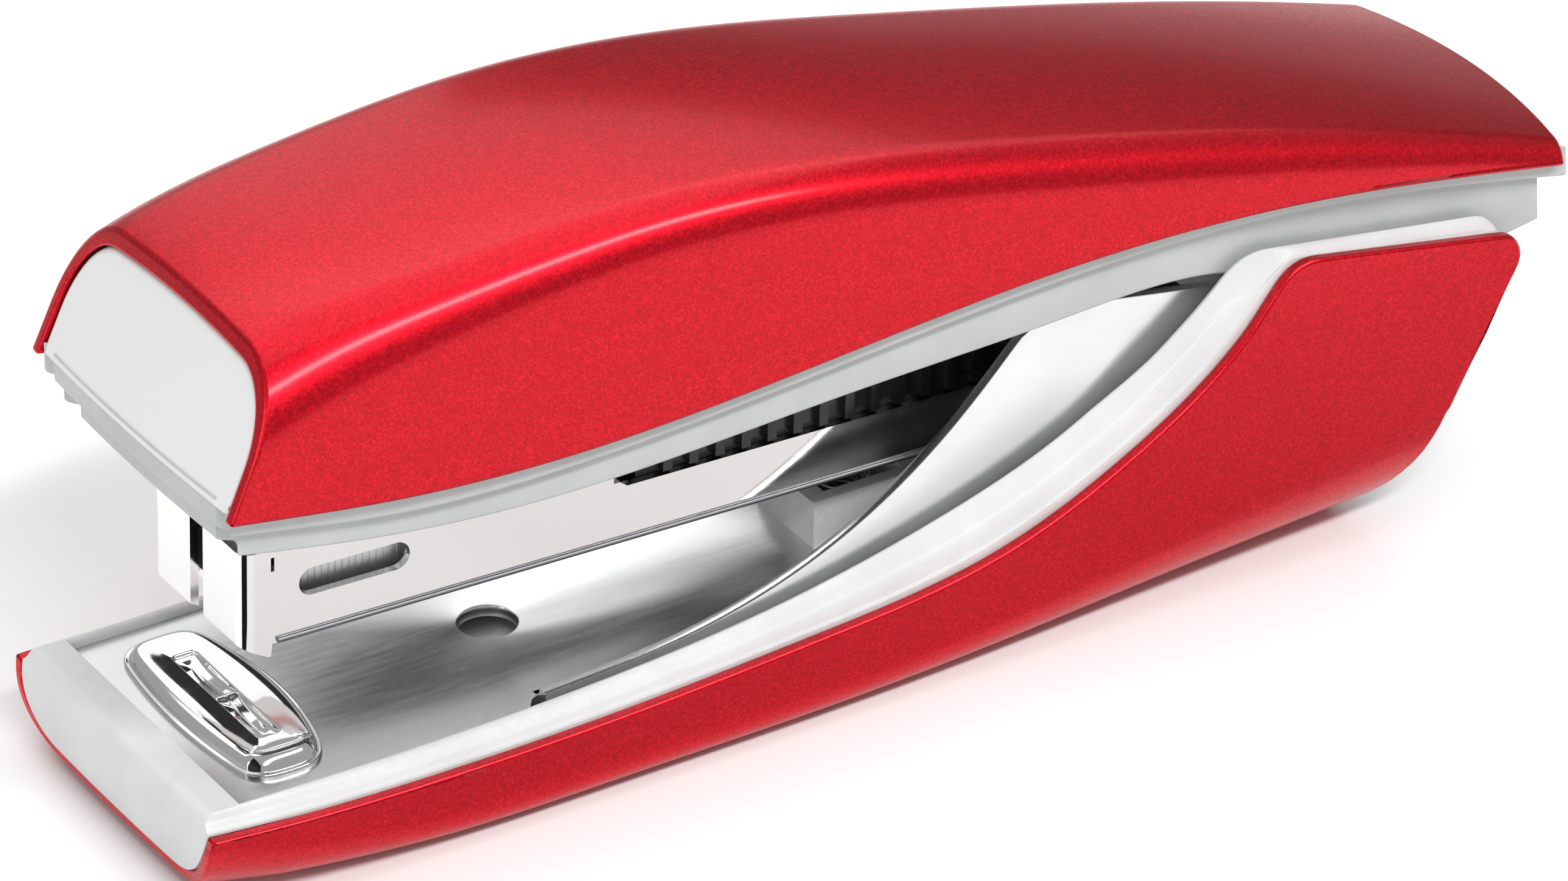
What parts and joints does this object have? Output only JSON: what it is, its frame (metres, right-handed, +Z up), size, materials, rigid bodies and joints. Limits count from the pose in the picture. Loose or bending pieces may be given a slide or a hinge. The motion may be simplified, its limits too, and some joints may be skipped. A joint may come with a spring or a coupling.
{
  "type": "stapler",
  "caption": "Compact desk stapler with a hinged sheet-steel handle, a tilting magazine, a sprung pusher and a crimping anvil on a flat base.",
  "frame": {"origin": "centre of the bounding box's bottom, on the table plane", "axes": "+X from the nose to the rear hinge, +Y across the width to the stapler's far side, +Z up"},
  "size_m": [0.107, 0.028, 0.0417],
  "materials": {
    "red_paint": "fine metallic flake",
    "white_plastic": "fine leather grain",
    "grey_plastic": "satin",
    "black_plastic": "semi-gloss",
    "bright_chrome": "bright",
    "satin_steel": "satin",
    "spring_steel": "bright drawn wire",
    "foot_rubber": "matte"
  },
  "bodies": {
    "base": {"base_cover": "red_paint", "base_insert": "white_plastic", "base_plate": "satin_steel", "plate_rivets": "satin_steel", "anvil": "bright_chrome", "front_foot": "foot_rubber", "rear_foot": "foot_rubber", "hinge_pin": "satin_steel", "spring_block": "white_plastic", "magazine_spring": "spring_steel"},
    "magazine": {"magazine_channel": "bright_chrome", "staple_rail": "satin_steel", "staples": "satin_steel", "feed_cover": "black_plastic", "rod_block": "black_plastic", "guide_rod": "satin_steel", "pusher_spring": "spring_steel", "spring_cap": "black_plastic", "handle_spring": "spring_steel"},
    "pusher": {"pusher": "satin_steel"},
    "handle": {"handle_cover": "red_paint", "handle_frame": "grey_plastic", "front_panel": "white_plastic", "driver_blade": "satin_steel", "blade_rivets": "satin_steel"}
  },
  "joints": [
    {"name": "magazine_tilt", "type": "hinge", "parent": "base", "child": "magazine", "pos_m": [0.0403, 0, 0.0145], "axis": [0, 1, 0], "range_deg": [-3.5, 0], "stiffness_Nm_per_rad": 2, "springref_deg": 4.58, "deforming": ["magazine_spring"]},
    {"name": "handle_press", "type": "hinge", "parent": "magazine", "child": "handle", "pos_m": [0.0403, 0, 0.0145], "axis": [0, 1, 0], "range_deg": [-4.1, 75], "stiffness_Nm_per_rad": 0.4, "springref_deg": 2.41, "deforming": ["handle_spring"]},
    {"name": "pusher_slide", "type": "slide", "parent": "magazine", "child": "pusher", "axis": [0.9996, 0, -0.0288], "range_m": [0, 0.018], "stiffness_N_per_m": 40, "springref_m": -0.03}
  ]
}
